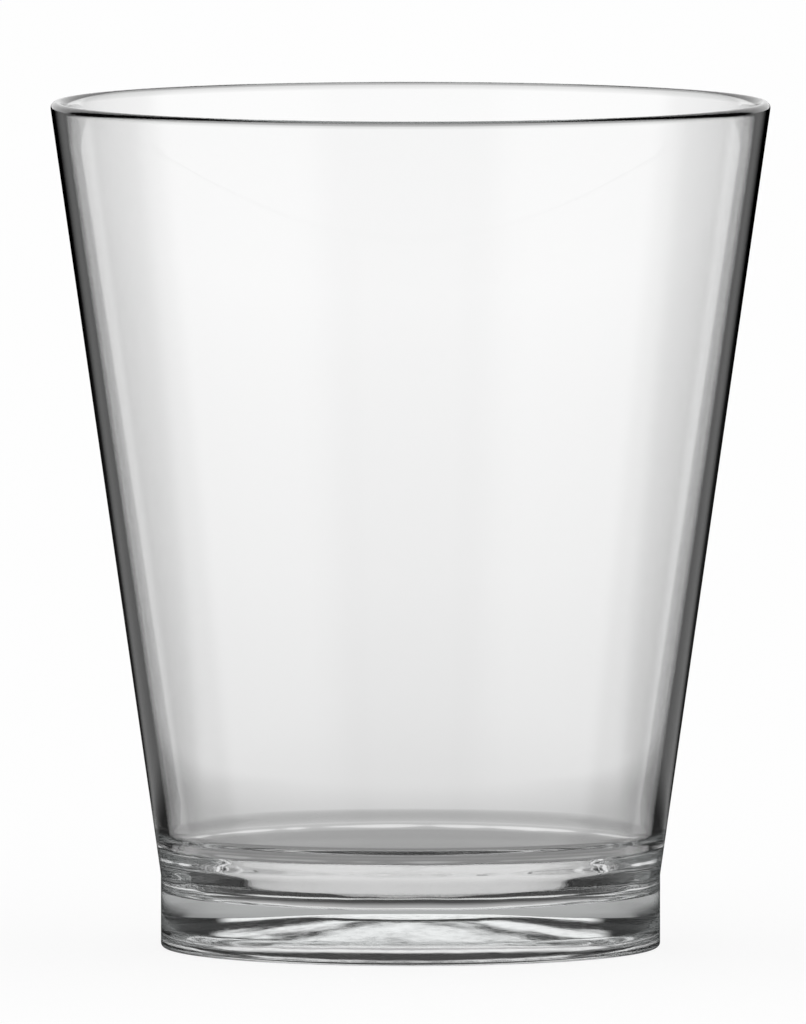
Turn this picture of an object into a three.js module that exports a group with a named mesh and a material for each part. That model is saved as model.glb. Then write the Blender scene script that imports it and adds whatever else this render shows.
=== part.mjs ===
// A clear glass tumbler: a straight, heavy foot that opens into a flared conical wall with a fire-polished lip.
// It is one piece of glass, so it is one closed half section turned about the vertical axis.
// Millimetres, +Z up, origin at the centre of the plane that the foot stands on.
import * as THREE from "three";

// The outside
const HEIGHT = 100;
const RIM_DIAMETER = 85.2; // where the wall's outside would meet the top without its rounding
const FOOT_DIAMETER = 59;
const FOOT_HEIGHT = 8.5; // from the table to where the wall starts to flare
const STEP_ROUNDING = 1.2; // softens the hollow edge between foot and wall
const FOOT_EDGE_ROUNDING = 0.5;

// The inside
const RIM_THICKNESS = 1.5; // both wall sizes are measured level
const WALL_THICKNESS = 1.7; // at the height of the floor, before the bowl thickens it
const BASE_THICKNESS = 6.3; // from the table to the flat floor
const BOWL_ROUNDING = 11; // the wall's turn inward
const BOWL_TURN = THREE.MathUtils.degToRad(45); // from level, where the bowl hands over to the heel
const HEEL_ROUNDING = 4; // the tighter turn that ends on the floor

// The underside
const BEARING_RING_WIDTH = 1.5; // the flat ring that touches the table
const SHOULDER_ROUNDING = 8; // from the ring up into the hollow
const SHOULDER_LEAN = THREE.MathUtils.degToRad(45); // where it meets the ring
const HOLLOW_LEAN = THREE.MathUtils.degToRad(7.5); // the hollow's sloping part
const CEILING_ROUNDING = 28; // from the sloping part into the flat ceiling
const CEILING_RADIUS = 6; // the flat ceiling itself

// Fineness of the facets
const TURN_STEPS = 96;
const ARC_STEP = THREE.MathUtils.degToRad(9);

const rimRadius = RIM_DIAMETER / 2;
const footRadius = FOOT_DIAMETER / 2;
const bearingInnerRadius = footRadius - FOOT_EDGE_ROUNDING - BEARING_RING_WIDTH;

// The outside of the wall runs straight from the foot to the rim, and the inside follows it.
const outerSlope = (rimRadius - footRadius) / (HEIGHT - FOOT_HEIGHT);
const innerSlope = outerSlope + (WALL_THICKNESS - RIM_THICKNESS) / (HEIGHT - BASE_THICKNESS);
const outerFlare = Math.atan(outerSlope);
const innerFlare = Math.atan(innerSlope);

const point = (radius, height) => new THREE.Vector2(radius, height);

// Points along an arc, both ends included. Angles are in radians, counterclockwise from level.
function arc(centre, radius, startAngle, endAngle) {
  const count = Math.max(2, Math.ceil(Math.abs(endAngle - startAngle) / ARC_STEP));
  return Array.from({ length: count + 1 }, (_, i) => {
    const angle = startAngle + ((endAngle - startAngle) * i) / count;
    return point(centre.x + radius * Math.cos(angle), centre.y + radius * Math.sin(angle));
  });
}

// The hollow underside, so that the tumbler doesn't rock.
// A flat ceiling rounds into a gentle slope, and a steeper shoulder ends it at the bearing ring.
function pushUp() {
  const steep = Math.PI / 2 - SHOULDER_LEAN;
  const gentle = Math.PI / 2 - HOLLOW_LEAN;
  const shoulderCentre = point(
    bearingInnerRadius - SHOULDER_ROUNDING * Math.cos(steep),
    -SHOULDER_ROUNDING * Math.sin(steep),
  );
  const shoulder = arc(shoulderCentre, SHOULDER_ROUNDING, gentle, steep);

  // The slope runs from the shoulder in to where the ceiling's rounding starts, and sets the depth.
  const slopeTopRadius = CEILING_RADIUS + CEILING_ROUNDING * Math.cos(gentle);
  const slopeTopHeight = shoulder[0].y + (shoulder[0].x - slopeTopRadius) * Math.tan(HOLLOW_LEAN);
  const ceilingCentre = point(CEILING_RADIUS, slopeTopHeight - CEILING_ROUNDING * Math.sin(gentle));
  const ceiling = arc(ceilingCentre, CEILING_ROUNDING, Math.PI / 2, gentle);
  return [point(0, ceiling[0].y), ...ceiling, ...shoulder];
}

// The rounded bottom edge of the foot.
function footEdge() {
  const centre = point(footRadius - FOOT_EDGE_ROUNDING, FOOT_EDGE_ROUNDING);
  return arc(centre, FOOT_EDGE_ROUNDING, -Math.PI / 2, 0);
}

// The hollow rounding where the straight foot turns into the flared wall.
function step() {
  const centre = point(footRadius + STEP_ROUNDING, FOOT_HEIGHT - STEP_ROUNDING * Math.tan(outerFlare / 2));
  return arc(centre, STEP_ROUNDING, Math.PI, Math.PI - outerFlare);
}

// A full round between the outside and the inside of the wall, as fire polishing leaves it.
function lip() {
  const outerReach = Math.tan(Math.PI / 4 + outerFlare / 2);
  const innerReach = Math.tan(Math.PI / 4 - innerFlare / 2);
  const rounding = RIM_THICKNESS / (outerReach + innerReach);
  const centre = point(rimRadius - rounding * outerReach, HEIGHT - rounding);
  return arc(centre, rounding, -outerFlare, Math.PI - innerFlare);
}

// The bowl's arc leaves the inner wall and the tighter heel's arc ends on the flat floor, with no crease.
function bowlAndFloor() {
  const down = point(-Math.sin(innerFlare), -Math.cos(innerFlare));
  const inward = point(-Math.cos(innerFlare), Math.sin(innerFlare));
  const handOver = point(Math.sin(BOWL_TURN), -Math.cos(BOWL_TURN));
  const tighter = BOWL_ROUNDING - HEEL_ROUNDING;

  // Slide both centres down beside the wall until the heel touches the floor.
  const start = point(rimRadius - RIM_THICKNESS, HEIGHT)
    .addScaledVector(inward, BOWL_ROUNDING)
    .addScaledVector(handOver, tighter);
  const slide = (start.y - BASE_THICKNESS - HEEL_ROUNDING) / Math.cos(innerFlare);
  const heelCentre = start.clone().addScaledVector(down, slide);
  const bowlCentre = heelCentre.clone().addScaledVector(handOver, -tighter);

  const turnAngle = BOWL_TURN - Math.PI / 2;
  return [
    ...arc(bowlCentre, BOWL_ROUNDING, -innerFlare, turnAngle),
    ...arc(heelCentre, HEEL_ROUNDING, turnAngle, -Math.PI / 2).slice(1),
    point(0, BASE_THICKNESS),
  ];
}

const glass = new THREE.MeshStandardMaterial({
  color: 0xf4f7f7,
  roughness: 0.02,
  metalness: 0,
  transparent: true,
  opacity: 0.35,
});

// From the axis under the base, round the outside to the lip, and down the inside to the axis again.
const section = [...pushUp(), ...footEdge(), ...step(), ...lip(), ...bowlAndFloor()];

const tumblerBody = new THREE.Mesh(new THREE.LatheGeometry(section, TURN_STEPS), glass);
tumblerBody.name = "tumbler_body";
tumblerBody.rotation.x = Math.PI / 2; // a lathe turns about +Y

const tumbler = new THREE.Group();
tumbler.add(tumblerBody);

export default tumbler;
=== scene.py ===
import math

import bpy
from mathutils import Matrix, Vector


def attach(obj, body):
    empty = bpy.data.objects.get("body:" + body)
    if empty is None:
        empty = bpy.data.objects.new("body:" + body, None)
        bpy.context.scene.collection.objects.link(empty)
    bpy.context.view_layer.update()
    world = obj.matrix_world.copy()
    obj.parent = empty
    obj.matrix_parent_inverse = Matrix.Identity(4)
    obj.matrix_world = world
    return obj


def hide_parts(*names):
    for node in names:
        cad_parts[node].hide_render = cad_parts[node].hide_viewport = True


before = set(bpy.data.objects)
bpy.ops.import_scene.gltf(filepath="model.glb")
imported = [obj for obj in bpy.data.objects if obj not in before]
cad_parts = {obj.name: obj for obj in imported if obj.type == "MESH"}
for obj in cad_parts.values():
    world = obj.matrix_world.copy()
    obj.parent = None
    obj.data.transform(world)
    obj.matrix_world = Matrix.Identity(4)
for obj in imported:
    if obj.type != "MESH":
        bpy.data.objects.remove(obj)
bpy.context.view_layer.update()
bpy.ops.object.select_all(action="DESELECT")
print("frame loaded with", sorted(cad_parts))

mm = 0.001


# the glass, in millimetres and degrees

tumbler = {
    "height": 100.0,
    "rimDiameter": 85.2,  # where the outside of the wall would meet the top without its rounding
    "footDiameter": 59.0,
    "footHeight": 8.5,  # up to where the wall starts to flare
    "stepRounding": 1.2,  # hollow edge between foot and wall
    "footEdgeRounding": 0.5,
    "rimThickness": 1.5,
    "lipReach": 0.95,  # how far the lip's rounding runs down the inside
    "wallThickness": 1.7,  # at the height of the floor
    "baseThickness": 6.3,  # up to the floor
    "bowlRounding": 13.5,  # between the wall and the heel
    "bowlTurn": 52.0,  # from level, where the bowl hands over to the heel
    "heelRounding": 4.0,  # between the bowl and the floor
    "ringWidth": 1.5,  # the flat ring that it stands on
    "shoulderRounding": 8.0,  # from the ring up into the hollow
    "shoulderLean": 45.0,  # where it meets the ring
    "hollowLean": 7.5,  # the sloping part of the hollow
    "ceilingRounding": 28.0,  # from the sloping part into the flat ceiling
    "ceilingRadius": 6.0,
    "rippleHeight": 0.075,  # faint rings that the plunger leaves on the bowl
    "rippleLength": 2.2,
    "rippleFrom": 1.5,  # where they are strongest, along the section from the top of the bowl
    "rippleTo": 6.5,  # where they have faded out
    "turnSteps": 288,
    "bowlWave": 0.11,  # uneven flow of the glass inside the base
    "bowlWaveSize": 6.0,
    "bowlWaveFade": 4.0,  # below the top of the bowl
    "footWave": 0.035,  # finer and rougher underneath
    "footWaveSize": 2.2,
    "footWaveFade": 0.6,  # inside the outer edge
    "middleFade": 4.0,  # and round the axis
    "floorSlack": 1.0,  # what lies lower than the floor by this belongs to the underside
    "wallSlack": 0.4,
}

# points along each stretch of the section
sectionSteps = {
    "ceiling": 8,
    "hollowArc": 14,
    "slope": 10,
    "ring": 10,
    "footArc": 12,
    "foot": 8,
    "wall": 24,
    "lipArc": 24,
    "bowlArc": 32,
    "floor": 60,
}


def arcPoints(centre, radius, startAngle, endAngle, steps):
    turn = (endAngle - startAngle) / steps
    angles = [startAngle + turn * i for i in range(steps + 1)]
    return [(centre[0] + radius * math.cos(a), centre[1] + radius * math.sin(a)) for a in angles]


def straightPoints(start, end, steps):
    # only what lies between the two ends
    shares = [i / steps for i in range(1, steps)]
    return [(start[0] + (end[0] - start[0]) * s, start[1] + (end[1] - start[1]) * s) for s in shares]


def hollowPoints(t):
    # from the axis along the flat ceiling, down the slope and round the shoulder to the ring
    ringInner = t["footDiameter"] / 2 - t["footEdgeRounding"] - t["ringWidth"]
    lean = math.radians(t["hollowLean"])
    steep = math.radians(t["shoulderLean"])
    shoulder = t["shoulderRounding"]
    ceiling = t["ceilingRounding"]
    arcSteps = sectionSteps["hollowArc"]
    centre = (ringInner - shoulder * math.sin(steep), -shoulder * math.cos(steep))
    side = arcPoints(centre, shoulder, math.pi / 2 - lean, math.pi / 2 - steep, arcSteps)
    slopeStart = t["ceilingRadius"] + ceiling * math.sin(lean)
    slopeTop = side[0][1] + (side[0][0] - slopeStart) * math.tan(lean)
    bendCentre = (t["ceilingRadius"], slopeTop - ceiling * math.cos(lean))
    bend = arcPoints(bendCentre, ceiling, math.pi / 2, math.pi / 2 - lean, arcSteps)
    middle = (0.0, bend[0][1])
    flat = straightPoints(middle, bend[0], sectionSteps["ceiling"])
    slope = straightPoints(bend[-1], side[0], sectionSteps["slope"])
    return [middle] + flat + bend + slope + side


def footPoints(t, flare):
    radius = t["footDiameter"] / 2
    edge = t["footEdgeRounding"]
    arcSteps = sectionSteps["footArc"]
    bottom = arcPoints((radius - edge, edge), edge, -math.pi / 2, 0, arcSteps)
    rounding = t["stepRounding"]
    stepCentre = (radius + rounding, t["footHeight"] - rounding * math.tan(flare / 2))
    step = arcPoints(stepCentre, rounding, math.pi, math.pi - flare, arcSteps)
    return bottom + straightPoints(bottom[-1], step[0], sectionSteps["foot"]) + step


def lipPoints(t, outerFlare, innerFlare):
    arcSteps = sectionSteps["lipArc"]
    outerReach = math.tan(math.pi / 4 + outerFlare / 2)
    innerReach = math.tan(math.pi / 4 - innerFlare / 2)
    rounding = t["rimThickness"] / (outerReach + innerReach)
    centre = (t["rimDiameter"] / 2 - rounding * outerReach, t["height"] - rounding)
    outer = arcPoints(centre, rounding, -outerFlare, math.pi / 2, arcSteps)
    # fire polishing sags the inside, so that quarter is drawn out along the wall
    reach = t["lipReach"]
    width = t["rimThickness"] - t["rimDiameter"] / 2 + centre[0]
    middle = (centre[0] - reach * math.sin(innerFlare), t["height"] - reach * math.cos(innerFlare))
    turns = [math.pi / 2 * i / arcSteps for i in range(1, arcSteps + 1)]
    inner = [(middle[0] + reach * math.cos(a) * math.sin(innerFlare) - width * math.sin(a),
              middle[1] + reach * math.cos(a) * math.cos(innerFlare)) for a in turns]
    return outer + inner


def bowlPoints(t, innerFlare):
    # the bowl leaves the wall and turns tighter into the heel, which ends on the floor
    turn = math.radians(t["bowlTurn"])
    handOver = Vector((math.sin(turn), -math.cos(turn)))
    inward = Vector((-math.cos(innerFlare), math.sin(innerFlare)))
    down = Vector((-math.sin(innerFlare), -math.cos(innerFlare)))
    bowl = t["bowlRounding"]
    heel = t["heelRounding"]
    arcSteps = sectionSteps["bowlArc"]
    wallTop = Vector((t["rimDiameter"] / 2 - t["rimThickness"], t["height"]))
    start = wallTop + inward * bowl + handOver * (bowl - heel)
    slide = (start.y - t["baseThickness"] - heel) / math.cos(innerFlare)
    heelCentre = start + down * slide
    bowlCentre = heelCentre - handOver * (bowl - heel)
    turnAngle = turn - math.pi / 2
    upper = arcPoints(bowlCentre, bowl, -innerFlare, turnAngle, arcSteps)
    lower = arcPoints(heelCentre, heel, turnAngle, -math.pi / 2, arcSteps)
    middle = (0.0, t["baseThickness"])
    floor = straightPoints(lower[-1], middle, sectionSteps["floor"])
    return rippledPoints(upper + lower[1:] + floor + [middle], t)


def rippledPoints(points, t):
    # moves each point a little along the section's normal, in rings that fade out down the bowl
    done = [points[0]]
    length = 0.0
    for before, here, after in zip(points, points[1:], points[2:]):
        length += math.dist(before, here)
        rise = min(length / t["rippleFrom"], 1.0)
        swell = rise * max(1 - length / t["rippleTo"], 0.0)
        shift = t["rippleHeight"] * swell * math.cos(2 * math.pi * length / t["rippleLength"])
        along = Vector(after) - Vector(before)
        along.normalize()
        done.append((here[0] - along.y * shift, here[1] + along.x * shift))
    return done + [points[-1]]


def sectionPoints(t):
    # round the half section, from the axis underneath to the axis inside
    rise = t["height"] - t["footHeight"]
    outerSlope = (t["rimDiameter"] - t["footDiameter"]) / 2 / rise
    thinning = (t["wallThickness"] - t["rimThickness"]) / (t["height"] - t["baseThickness"])
    outerFlare = math.atan(outerSlope)
    innerFlare = math.atan(outerSlope + thinning)
    foot = footPoints(t, outerFlare)
    lip = lipPoints(t, outerFlare, innerFlare)
    bowl = bowlPoints(t, innerFlare)
    hollow = hollowPoints(t)
    ring = straightPoints(hollow[-1], foot[0], sectionSteps["ring"])
    outside = straightPoints(foot[-1], lip[0], sectionSteps["wall"])
    inside = straightPoints(lip[-1], bowl[0], sectionSteps["wall"])
    return hollow + ring + foot + outside + lip + inside + bowl


def drawSection(name, points):
    # a plane is merged to one point, which is then drawn out along the section
    places = [Vector((radius * mm, 0, height * mm)) for radius, height in points]
    bpy.ops.mesh.primitive_plane_add(size=mm)
    section = bpy.context.object
    section.name = name
    bpy.ops.object.mode_set(mode="EDIT")
    bpy.ops.mesh.select_all(action="SELECT")
    bpy.ops.mesh.merge(type="CENTER")
    bpy.ops.transform.translate(value=places[0])
    for here, there in zip(places, places[1:]):
        bpy.ops.mesh.extrude_region_move(TRANSFORM_OT_translate={"value": there - here})
    return section


def turnSection(section, steps):
    mergeWithin = 0.0005 * mm  # the seam and the two poles
    bpy.ops.mesh.select_all(action="SELECT")
    bpy.ops.mesh.spin(steps=steps, angle=2 * math.pi, center=(0, 0, 0), axis=(0, 0, 1))
    bpy.ops.mesh.select_all(action="SELECT")
    bpy.ops.mesh.remove_doubles(threshold=mergeWithin)
    bpy.ops.mesh.normals_make_consistent(inside=False)
    bpy.ops.object.mode_set(mode="OBJECT")
    bpy.ops.object.shade_smooth()
    return section


def waveGroup(glass, name, chosen, height, size):
    # pushes the chosen points a little into the glass by a soft cloud pattern
    group = glass.vertex_groups.new(name=name)
    for vertex in glass.data.vertices:
        weight = chosen(math.hypot(vertex.co.x, vertex.co.y) / mm, vertex.co.z / mm)
        if weight > 0:
            group.add([vertex.index], weight, "REPLACE")
    clouds = bpy.data.textures.new(name, "CLOUDS")
    clouds.noise_scale = size * mm
    clouds.noise_depth = 1
    wave = glass.modifiers.new(name, "DISPLACE")
    wave.texture = clouds
    wave.texture_coords = "LOCAL"
    wave.vertex_group = name
    wave.mid_level = 1.0  # so that no point moves out of the glass
    wave.strength = height * mm
    bpy.ops.object.modifier_apply(modifier=name)


def waveGlass(glass, t):
    # inside the base the waves fade out up the bowl, and underneath they stop at the outer edge
    footRadius = t["footDiameter"] / 2
    underTop = t["baseThickness"] - t["floorSlack"]
    bowlTop = t["baseThickness"] + t["bowlRounding"]
    bowlEdge = footRadius - t["wallThickness"] + t["wallSlack"]
    footEdge = footRadius - t["footEdgeRounding"]

    def insideBase(radius, height):
        if height < underTop or height > bowlTop or radius > bowlEdge:
            return 0.0
        return min((bowlTop - height) / t["bowlWaveFade"], 1.0)

    def underneath(radius, height):
        if radius > footEdge or height > underTop:
            return 0.0
        return min((footEdge - radius) / t["footWaveFade"], 1.0) * min(radius / t["middleFade"], 1.0)

    waveGroup(glass, "bowlWave", insideBase, t["bowlWave"], t["bowlWaveSize"])
    waveGroup(glass, "footWave", underneath, t["footWave"], t["footWaveSize"])


# node helpers

def addNode(tree, kind, **settings):
    node = tree.nodes.new(kind)
    for name, value in settings.items():
        setattr(node, name, value)
    return node


def feed(tree, socket, value):
    if isinstance(value, bpy.types.NodeSocket):
        tree.links.new(value, socket)
    else:
        socket.default_value = value


def calc(tree, operation, *values):
    node = addNode(tree, "ShaderNodeMath", operation=operation)
    for socket, value in zip(node.inputs, values):
        feed(tree, socket, value)
    return node.outputs[0]


def rampUp(tree, value, low, high, atLow, atHigh):
    node = addNode(tree, "ShaderNodeMapRange", interpolation_type="SMOOTHSTEP")
    for socket, setting in zip(node.inputs, (value, low, high, atLow, atHigh)):
        feed(tree, socket, setting)
    return node.outputs[0]


def choose(tree, switch, off, on):
    node = addNode(tree, "ShaderNodeMix", data_type="FLOAT")
    feed(tree, node.inputs[0], switch)
    feed(tree, node.inputs[2], off)
    feed(tree, node.inputs[3], on)
    return node.outputs[0]


def stopsOver(tree, distance, stops):
    # brightness at distances in millimetres, straight in between
    reach = stops[-1][0]
    ramp = addNode(tree, "ShaderNodeValToRGB")
    elements = ramp.color_ramp.elements
    while len(elements) < len(stops):
        elements.new(1.0)
    for element, (place, level) in zip(elements, stops):
        element.position = place / reach
        element.color = (level, level, level, 1)
    feed(tree, ramp.inputs[0], calc(tree, "DIVIDE", distance, reach))
    return ramp.outputs[0]


def toDegrees(tree, value):
    return calc(tree, "MULTIPLY", value, 180 / math.pi)


def turnFrom(tree, across, ahead):
    # degrees to either side of the direction ahead
    return toDegrees(tree, calc(tree, "ABSOLUTE", calc(tree, "ARCTAN2", across, ahead)))


# clear glass, in millimetres

clearGlass = {
    "ior": 1.52,
    "tint": (0.86, 0.97, 0.96, 1),
    "tintDensity": 3.0,
    "satin": 0.1,  # the underside keeps the skin of the mould
    "ringWear": 0.3,  # and the ring is frosted by tables
    "ringFrom": 0.1,  # the wear gives way to the satin between these heights
    "ringTo": 0.6,
    "grainScale": 900.0,  # both are uneven
    "grainFrom": 0.6,
    "grainTo": 1.3,
    "undersideTop": 4.6,
    "undersideRadius": 28.9,
    "flow": 0.004,  # faint waviness all over
    "flowSize": 9.0,
}


def makeGlass(g):
    material = bpy.data.materials.new("clearGlass")
    material.use_nodes = True
    tree = material.node_tree
    shader = tree.nodes["Principled BSDF"]
    shader.inputs["Base Color"].default_value = (1, 1, 1, 1)
    shader.inputs["IOR"].default_value = g["ior"]
    shader.inputs["Transmission Weight"].default_value = 1.0

    # the underside, by height and distance from the axis
    place = addNode(tree, "ShaderNodeTexCoord")
    parts = addNode(tree, "ShaderNodeSeparateXYZ")
    tree.links.new(place.outputs["Object"], parts.inputs[0])
    height = calc(tree, "DIVIDE", parts.outputs[2], mm)
    square = [calc(tree, "MULTIPLY", parts.outputs[i], parts.outputs[i]) for i in (0, 1)]
    radius = calc(tree, "DIVIDE", calc(tree, "SQRT", calc(tree, "ADD", *square)), mm)
    low = calc(tree, "LESS_THAN", height, g["undersideTop"])
    under = calc(tree, "MULTIPLY", low, calc(tree, "LESS_THAN", radius, g["undersideRadius"]))

    grain = addNode(tree, "ShaderNodeTexNoise")
    grain.inputs["Scale"].default_value = g["grainScale"]
    tree.links.new(place.outputs["Object"], grain.inputs["Vector"])
    uneven = rampUp(tree, grain.outputs["Fac"], 0.3, 0.7, g["grainFrom"], g["grainTo"])
    worn = rampUp(tree, height, g["ringFrom"], g["ringTo"], g["ringWear"], g["satin"])
    rough = calc(tree, "MULTIPLY", calc(tree, "MULTIPLY", under, worn), uneven)
    tree.links.new(rough, shader.inputs["Roughness"])

    flow = addNode(tree, "ShaderNodeTexNoise")
    flow.inputs["Scale"].default_value = 1 / (g["flowSize"] * mm)
    flow.inputs["Detail"].default_value = 1.0
    tree.links.new(place.outputs["Object"], flow.inputs["Vector"])
    bump = addNode(tree, "ShaderNodeBump")
    bump.inputs["Distance"].default_value = g["flow"] * mm
    tree.links.new(flow.outputs["Fac"], bump.inputs["Height"])
    tree.links.new(bump.outputs[0], shader.inputs["Normal"])

    tintVolume = addNode(tree, "ShaderNodeVolumeAbsorption")
    tintVolume.inputs["Color"].default_value = g["tint"]
    tintVolume.inputs["Density"].default_value = g["tintDensity"]
    tree.links.new(tintVolume.outputs[0], tree.nodes["Material Output"].inputs["Volume"])
    return material


# the studio, in degrees: a white panel behind, two soft boxes in front, and dark in between

studio = {
    "panelHalf": 37.0,  # to each side of straight behind
    "panelEdge": 4.0,
    "panelTop": 42.0,  # above level
    "panelSoft": 12.0,
    "darkSides": 0.02,
    "overhead": 0.06,
    "overheadFrom": 45.0,
    "overheadTo": 65.0,
    "frontMiddle": 0.5,
    "frontBox": 0.72,
    "boxFrom": 30.0,  # to each side of straight in front
    "boxTo": 96.0,
    "boxEnd": 6.0,
    "boxTop": 35.0,
    "boxSoft": 8.0,
}


def frontBoxes(tree, s, across, behind):
    # brightness by the turn from straight in front: a grey middle, a box on each side, then dark
    turn = turnFrom(tree, across, calc(tree, "MULTIPLY", behind, -1.0))
    start, end, soft = s["boxFrom"], s["boxTo"], s["boxSoft"]
    rise = rampUp(tree, turn, start - soft, start + soft, s["frontMiddle"], s["frontBox"])
    return calc(tree, "MULTIPLY", rise, rampUp(tree, turn, end - s["boxEnd"], end + s["boxEnd"], 1.0, 0.0))


def makeStudio(s):
    world = bpy.data.worlds.new("studio")
    bpy.context.scene.world = world
    world.use_nodes = True
    tree = world.node_tree
    tree.nodes.clear()
    path = addNode(tree, "ShaderNodeLightPath")
    direction = addNode(tree, "ShaderNodeTexCoord")
    parts = addNode(tree, "ShaderNodeSeparateXYZ")
    tree.links.new(direction.outputs["Generated"], parts.inputs[0])
    across, behind, up = parts.outputs
    elevation = toDegrees(tree, calc(tree, "ARCSINE", up))
    turn = turnFrom(tree, across, behind)

    half, edge = s["panelHalf"], s["panelEdge"]
    top, soft = s["panelTop"], s["panelSoft"]
    panel = rampUp(tree, turn, half - edge, half + edge, 1.0, 0.0)
    panel = calc(tree, "MULTIPLY", panel, rampUp(tree, elevation, top - soft, top + soft, 1.0, 0.0))
    ceiling = rampUp(tree, elevation, s["overheadFrom"], s["overheadTo"], s["darkSides"], s["overhead"])
    boxTop, boxSoft = s["boxTop"], s["boxSoft"]
    boxes = frontBoxes(tree, s, across, behind)
    boxes = calc(tree, "MULTIPLY", boxes, rampUp(tree, elevation, boxTop - boxSoft, boxTop + boxSoft, 1.0, 0.0))
    room = calc(tree, "MAXIMUM", calc(tree, "MAXIMUM", panel, ceiling), boxes)

    # plain white to the eye and on the table, the room only in the glass
    plain = calc(tree, "MAXIMUM", path.outputs["Is Camera Ray"], path.outputs["Is Diffuse Ray"])
    background = addNode(tree, "ShaderNodeBackground")
    background.inputs["Color"].default_value = (1, 1, 1, 1)
    tree.links.new(choose(tree, plain, room, 1.0), background.inputs["Strength"])
    output = addNode(tree, "ShaderNodeOutputWorld")
    tree.links.new(background.outputs[0], output.inputs[0])


# the table, in millimetres and degrees: white to the eye, with painted shade and painted light where it is seen
# in the glass

table = {
    "size": 20.0,  # metres
    "drop": 0.05,  # under the ring
    "paint": (0.97, 0.97, 0.97, 1),
    "shadowShare": 0.15,  # how much of the glass's own shadow shows
    # painted shade by distance from the axis, seen through the glass: behind it, and the open table beside it
    "behindPaintedShadeStops": [(0, 0.6), (20, 0.5), (30, 0.3), (45, 0.25), (60, 0.4), (200, 0.55), (250, 0.8), (600, 0.9),
                     (1200, 1.0)],
    "openPaintedShadeStops": [(0, 0.7), (20, 0.6), (30, 0.4), (60, 0.8), (150, 0.95), (1200, 1.0)],
    "shadeFrom": 30.0,  # from straight behind, where the shade gives way to the open table
    "shadeTo": 75.0,
    # near the foot, painted dark shade where its solid glass bends further than this to the sides
    "bentFrom": 40.0,
    "bentSoft": 5.0,
    "bentFocus": 23.0,  # behind the axis, where the turn is measured from
    "bentPaintedShade": 0.03,
    "bentOutside": 31.0,
    "bentReach": 60.0,
    "bentFade": 20.0,
    # mirrored in the glass, painted on the table: dark painted shade close by, then painted light for what lies
    # to the sides behind it and in front
    "mirroredPaintedShadeStops": [(0, 0.5), (18, 0.45), (21, 0.36), (23.5, 0.06), (27, 0.03), (60, 0.02), (900, 0.0)],
    "besidePaintedLight": 0.4,  # only in the outside of the glass
    "besideFrom": 18.0,
    "besideTo": 32.0,
    "besideEnd": 65.0,
    "besideSoft": 10.0,
    "besideNear": 105.0,  # so that the upright foot stays dark
    "besideFar": 160.0,
    "patchFrom": 70.0,
    "patchTo": 120.0,
}


def paintedShadeThrough(tree, t, path, distance, turn, across, behind):
    # painted shade on the table, which the glass shows by refraction alone
    besideShade = rampUp(tree, turn, t["shadeFrom"], t["shadeTo"], 0.0, 1.0)
    # painted shade behind the glass, and the softer painted shade of the open table beside it
    shaded = stopsOver(tree, distance, t["behindPaintedShadeStops"])
    clear = stopsOver(tree, distance, t["openPaintedShadeStops"])
    through = choose(tree, besideShade, shaded, clear)

    beyond = calc(tree, "SUBTRACT", behind, t["bentFocus"] * mm)
    bend = toDegrees(tree, calc(tree, "ARCTAN2", calc(tree, "ABSOLUTE", across), beyond))
    start, soft, reach = t["bentFrom"], t["bentSoft"], t["bentReach"]
    # painted dark shade on the table for views bent far to the sides near the foot
    bent = rampUp(tree, bend, start - soft, start + soft, 1.0, t["bentPaintedShade"])
    nearFoot = calc(tree, "MULTIPLY", calc(tree, "GREATER_THAN", distance, t["bentOutside"]),
                    rampUp(tree, distance, reach - t["bentFade"], reach, 1.0, 0.0))
    solid = calc(tree, "LESS_THAN", path.outputs["Transmission Depth"], 2.5)  # once in and once out
    return calc(tree, "MULTIPLY", through, choose(tree, calc(tree, "MULTIPLY", nearFoot, solid), 1.0, bent))


def paintedMirrorShadeAndLight(tree, t, s, path, distance, turn, across, behind):
    # painted shade and painted light on the table, which the glass shows by reflection
    end, soft = t["besideEnd"], t["besideSoft"]
    # painted light to the sides behind the table, only in the outside of the glass
    beside = rampUp(tree, turn, t["besideFrom"], t["besideTo"], 0.0, t["besidePaintedLight"])
    beside = calc(tree, "MULTIPLY", beside, rampUp(tree, turn, end - soft, end + soft, 1.0, 0.0))
    beside = calc(tree, "MULTIPLY", beside, rampUp(tree, distance, t["besideNear"], t["besideFar"], 0.0, 1.0))
    entered = calc(tree, "GREATER_THAN", path.outputs["Transmission Depth"], 0.5)
    beside = choose(tree, entered, beside, 0.0)
    # the front boxes' light, painted onto the table for what the glass mirrors
    boxes = frontBoxes(tree, s, across, behind)
    away = rampUp(tree, distance, t["patchFrom"], t["patchTo"], 0.0, 1.0)
    far = calc(tree, "MULTIPLY", calc(tree, "MAXIMUM", beside, boxes), away)
    return calc(tree, "MAXIMUM", stopsOver(tree, distance, t["mirroredPaintedShadeStops"]), far)


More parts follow.
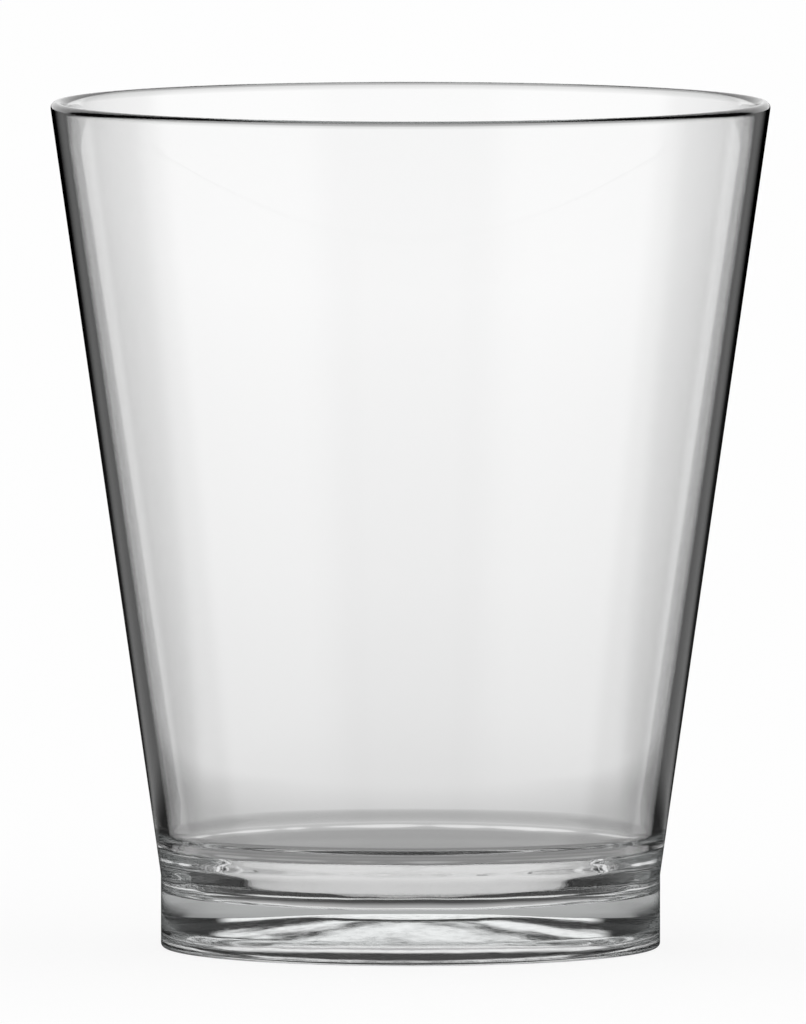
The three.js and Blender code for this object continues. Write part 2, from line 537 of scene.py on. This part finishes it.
def makeTable(t, s):
    bpy.ops.mesh.primitive_plane_add(size=t["size"], location=(0, 0, -t["drop"] * mm))
    floor = bpy.context.object
    floor.name = "table"
    material = bpy.data.materials.new("tableWhitePaintedShade")
    material.use_nodes = True
    tree = material.node_tree
    tree.nodes.clear()
    path = addNode(tree, "ShaderNodeLightPath")
    place = addNode(tree, "ShaderNodeTexCoord")
    length = addNode(tree, "ShaderNodeVectorMath", operation="LENGTH")
    tree.links.new(place.outputs["Object"], length.inputs[0])
    distance = calc(tree, "DIVIDE", length.outputs["Value"], mm)
    parts = addNode(tree, "ShaderNodeSeparateXYZ")
    tree.links.new(place.outputs["Object"], parts.inputs[0])
    across, behind = parts.outputs[0], parts.outputs[1]
    turn = turnFrom(tree, across, behind)

    through = paintedShadeThrough(tree, t, path, distance, turn, across, behind)
    mirrored = paintedMirrorShadeAndLight(tree, t, s, path, distance, turn, across, behind)
    reflected = calc(tree, "GREATER_THAN", path.outputs["Glossy Depth"], 0.5)
    seen = choose(tree, reflected, through, mirrored)
    level = choose(tree, path.outputs["Is Camera Ray"], seen, 1.0)
    # the table's glow carries the painted shade and painted light; to the eye it is plain white
    paintedGlow = addNode(tree, "ShaderNodeEmission")
    tree.links.new(level, paintedGlow.inputs["Strength"])
    paint = addNode(tree, "ShaderNodeBsdfDiffuse")
    paint.inputs["Color"].default_value = t["paint"]
    blend = addNode(tree, "ShaderNodeMixShader")
    feed(tree, blend.inputs[0], calc(tree, "MULTIPLY", path.outputs["Is Camera Ray"], t["shadowShare"]))
    tree.links.new(paintedGlow.outputs[0], blend.inputs[1])
    tree.links.new(paint.outputs[0], blend.inputs[2])
    output = addNode(tree, "ShaderNodeOutputMaterial")
    tree.links.new(blend.outputs[0], output.inputs[0])
    floor.data.materials.append(material)


# the camera, from what the photograph measures in its 806 by 1024 pixels

view = {
    "width": 806,
    "height": 1024,
    "axisX": 410.5,
    "tableY": 948.5,  # the table's plane under the axis
    "rimPixels": 721.3,
    "rimWidth": 85.0,  # millimetres
    "distance": 4.0,  # metres
    "rise": 0.325,
    "sensor": 36.0,
    "clipEnd": 100.0,
}


def makeCamera(v):
    pixelsPerMetre = v["rimPixels"] / (v["rimWidth"] * mm)
    camera = bpy.data.cameras.new("camera")
    camera.sensor_width = v["sensor"]
    camera.lens = v["sensor"] * v["distance"] * pixelsPerMetre / v["height"]
    camera.shift_x = (v["width"] / 2 - v["axisX"]) / v["height"]
    camera.clip_end = v["clipEnd"]
    holder = bpy.data.objects.new("camera", camera)
    bpy.context.scene.collection.objects.link(holder)
    holder.location = (0, -v["distance"], v["rise"])
    aim = Vector((0, 0, (v["tableY"] - v["height"] / 2) / pixelsPerMetre))
    holder.rotation_euler = (aim - holder.location).to_track_quat("-Z", "Y").to_euler()
    bpy.context.scene.camera = holder


# thick clear glass needs long light paths
lightPaths = {
    "all": 48,
    "transmission": 32,
    "glossy": 40,
}


def main():
    scene = bpy.context.scene
    scene.view_settings.view_transform = "Standard"
    scene.cycles.max_bounces = lightPaths["all"]
    scene.cycles.transmission_bounces = lightPaths["transmission"]
    scene.cycles.glossy_bounces = lightPaths["glossy"]
    makeCamera(view)
    makeStudio(studio)
    makeTable(table, studio)
    print("camera, studio and table ready")

    section = drawSection("tumblerGlass", sectionPoints(tumbler))
    glass = turnSection(section, tumbler["turnSteps"])
    waveGlass(glass, tumbler)
    glass.data.materials.append(makeGlass(clearGlass))
    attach(glass, "root")
    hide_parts("tumbler_body")
    print("glass turned,", len(glass.data.polygons), "faces")


main()
